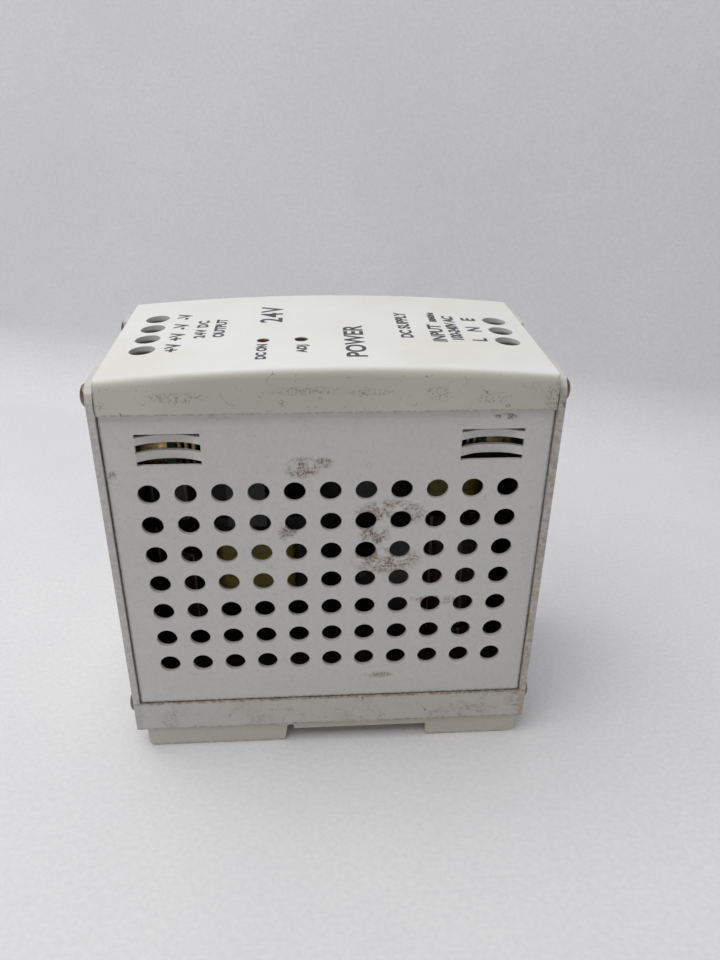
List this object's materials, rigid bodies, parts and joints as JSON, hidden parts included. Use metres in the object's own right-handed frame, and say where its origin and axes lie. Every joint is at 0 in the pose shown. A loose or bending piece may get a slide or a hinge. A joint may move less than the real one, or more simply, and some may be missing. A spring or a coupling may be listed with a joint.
{
  "type": "din rail power supply",
  "caption": "Slim perforated metal power supply with an arched front cover, recessed screw terminals at both ends, louvred sides and a sprung foot that clips on a top-hat rail.",
  "frame": {"origin": "middle of the footprint, at the bottom of the feet", "axes": "+X from the output terminals to the input terminals along the rail-crossing length, +Y from the near side panel to the far one, +Z from the rail side up to the labelled cover"},
  "size_m": [0.0998, 0.054, 0.1002],
  "materials": {
    "case_paint": "satin ivory paint, yellowed and dusty",
    "cover_plastic": "satin ivory plastic, slightly yellowed",
    "foot_plastic": "matte beige plastic",
    "plated_steel": "zinc plated",
    "spring_steel": "bright wire",
    "contact_brass": "dull",
    "board": "glass fibre laminate, green mask",
    "black_plastic": "moulded",
    "ferrite": "fired, matte",
    "yellow_tape": "polyester tape",
    "can_sleeve": "shrunk sleeve",
    "grey_plastic": "moulded box",
    "heatsink_aluminium": "mill finish",
    "terminal_green": "moulded",
    "blue_plastic": "moulded",
    "white_plastic": "moulded",
    "green_lens": "tinted lens"
  },
  "bodies": {
    "case": {"adapter_screw_input_far": "plated_steel", "adapter_screw_input_near": "plated_steel", "adapter_screw_output": "plated_steel", "board_screw_input": "plated_steel", "board_screw_output": "plated_steel", "bulk_capacitor": "can_sleeve", "case_screw_input_far_lower": "plated_steel", "case_screw_input_far_upper": "plated_steel", "case_screw_input_near_lower": "plated_steel", "case_screw_input_near_upper": "plated_steel", "case_screw_output_far_lower": "plated_steel", "case_screw_output_far_upper": "plated_steel", "case_screw_output_near_lower": "plated_steel", "case_screw_output_near_upper": "plated_steel", "chassis": "case_paint", "contact_input_1": "contact_brass", "contact_input_2": "contact_brass", "contact_input_3": "contact_brass", "contact_output_1": "contact_brass", "contact_output_2": "contact_brass", "contact_output_3": "contact_brass", "contact_output_4": "contact_brass", "filter_capacitor": "grey_plastic", "front_circuit_board": "board", "front_cover": "cover_plastic", "input_terminal_block": "terminal_green", "latch_spring": "spring_steel", "line_choke_core": "ferrite", "line_choke_winding": "yellow_tape", "main_circuit_board": "board", "output_capacitor_1": "can_sleeve", "output_capacitor_2": "can_sleeve", "output_terminal_block": "terminal_green", "power_led": "green_lens", "primary_heatsink": "heatsink_aluminium", "rail_adapter": "foot_plastic", "rectifier_diode": "black_plastic", "secondary_heatsink": "heatsink_aluminium", "side_panel_far": "case_paint", "side_panel_near": "case_paint", "switching_transistor": "black_plastic", "transformer_core": "ferrite", "transformer_winding": "yellow_tape", "trimmer_body": "blue_plastic"},
    "latch": {"rail_latch": "foot_plastic"},
    "trimmer_knob": {"trimmer_rotor": "white_plastic"},
    "screw_output_1": {"terminal_screw_output_1": "plated_steel"},
    "cage_output_1": {"clamp_cage_output_1": "contact_brass"},
    "screw_output_2": {"terminal_screw_output_2": "plated_steel"},
    "cage_output_2": {"clamp_cage_output_2": "contact_brass"},
    "screw_output_3": {"terminal_screw_output_3": "plated_steel"},
    "cage_output_3": {"clamp_cage_output_3": "contact_brass"},
    "screw_output_4": {"terminal_screw_output_4": "plated_steel"},
    "cage_output_4": {"clamp_cage_output_4": "contact_brass"},
    "screw_input_1": {"terminal_screw_input_1": "plated_steel"},
    "cage_input_1": {"clamp_cage_input_1": "contact_brass"},
    "screw_input_2": {"terminal_screw_input_2": "plated_steel"},
    "cage_input_2": {"clamp_cage_input_2": "contact_brass"},
    "screw_input_3": {"terminal_screw_input_3": "plated_steel"},
    "cage_input_3": {"clamp_cage_input_3": "contact_brass"}
  },
  "joints": [
    {"name": "latch_slide", "type": "slide", "parent": "case", "child": "latch", "axis": [1, 0, 0], "range_m": [0, 0.003], "stiffness_N_per_m": 300, "springref_m": -0.004, "deforming": ["latch_spring"]},
    {"name": "trimmer_turn", "type": "hinge", "parent": "case", "child": "trimmer_knob", "pos_m": [-0.0056, -0.0089, 0.079], "axis": [0, 0, 1], "range_deg": [-130, 130]},
    {"name": "screw_output_1_turn", "type": "hinge", "parent": "case", "child": "screw_output_1", "pos_m": [-0.039, -0.01095, 0.0842], "axis": [0, 0, 1], "range_deg": [-1440, 0]},
    {"name": "cage_output_1_rise", "type": "slide", "parent": "case", "child": "cage_output_1", "axis": [0, 0, 1], "range_m": [0, 0.0024]},
    {"name": "screw_output_2_turn", "type": "hinge", "parent": "case", "child": "screw_output_2", "pos_m": [-0.039, -0.00365, 0.0842], "axis": [0, 0, 1], "range_deg": [-1440, 0]},
    {"name": "cage_output_2_rise", "type": "slide", "parent": "case", "child": "cage_output_2", "axis": [0, 0, 1], "range_m": [0, 0.0024]},
    {"name": "screw_output_3_turn", "type": "hinge", "parent": "case", "child": "screw_output_3", "pos_m": [-0.039, 0.00365, 0.0842], "axis": [0, 0, 1], "range_deg": [-1440, 0]},
    {"name": "cage_output_3_rise", "type": "slide", "parent": "case", "child": "cage_output_3", "axis": [0, 0, 1], "range_m": [0, 0.0024]},
    {"name": "screw_output_4_turn", "type": "hinge", "parent": "case", "child": "screw_output_4", "pos_m": [-0.039, 0.01095, 0.0842], "axis": [0, 0, 1], "range_deg": [-1440, 0]},
    {"name": "cage_output_4_rise", "type": "slide", "parent": "case", "child": "cage_output_4", "axis": [0, 0, 1], "range_m": [0, 0.0024]},
    {"name": "screw_input_1_turn", "type": "hinge", "parent": "case", "child": "screw_input_1", "pos_m": [0.0397, -0.0073, 0.0842], "axis": [0, 0, 1], "range_deg": [-1440, 0]},
    {"name": "cage_input_1_rise", "type": "slide", "parent": "case", "child": "cage_input_1", "axis": [0, 0, 1], "range_m": [0, 0.0024]},
    {"name": "screw_input_2_turn", "type": "hinge", "parent": "case", "child": "screw_input_2", "pos_m": [0.0397, 0, 0.0842], "axis": [0, 0, 1], "range_deg": [-1440, 0]},
    {"name": "cage_input_2_rise", "type": "slide", "parent": "case", "child": "cage_input_2", "axis": [0, 0, 1], "range_m": [0, 0.0024]},
    {"name": "screw_input_3_turn", "type": "hinge", "parent": "case", "child": "screw_input_3", "pos_m": [0.0397, 0.0073, 0.0842], "axis": [0, 0, 1], "range_deg": [-1440, 0]},
    {"name": "cage_input_3_rise", "type": "slide", "parent": "case", "child": "cage_input_3", "axis": [0, 0, 1], "range_m": [0, 0.0024]}
  ],
  "couplings": [
    {"joint": "screw_output_1_turn", "follows": "cage_output_1_rise", "rad_per_m": -10471},
    {"joint": "screw_output_2_turn", "follows": "cage_output_2_rise", "rad_per_m": -10471},
    {"joint": "screw_output_3_turn", "follows": "cage_output_3_rise", "rad_per_m": -10471},
    {"joint": "screw_output_4_turn", "follows": "cage_output_4_rise", "rad_per_m": -10471},
    {"joint": "screw_input_1_turn", "follows": "cage_input_1_rise", "rad_per_m": -10471},
    {"joint": "screw_input_2_turn", "follows": "cage_input_2_rise", "rad_per_m": -10471},
    {"joint": "screw_input_3_turn", "follows": "cage_input_3_rise", "rad_per_m": -10471}
  ]
}
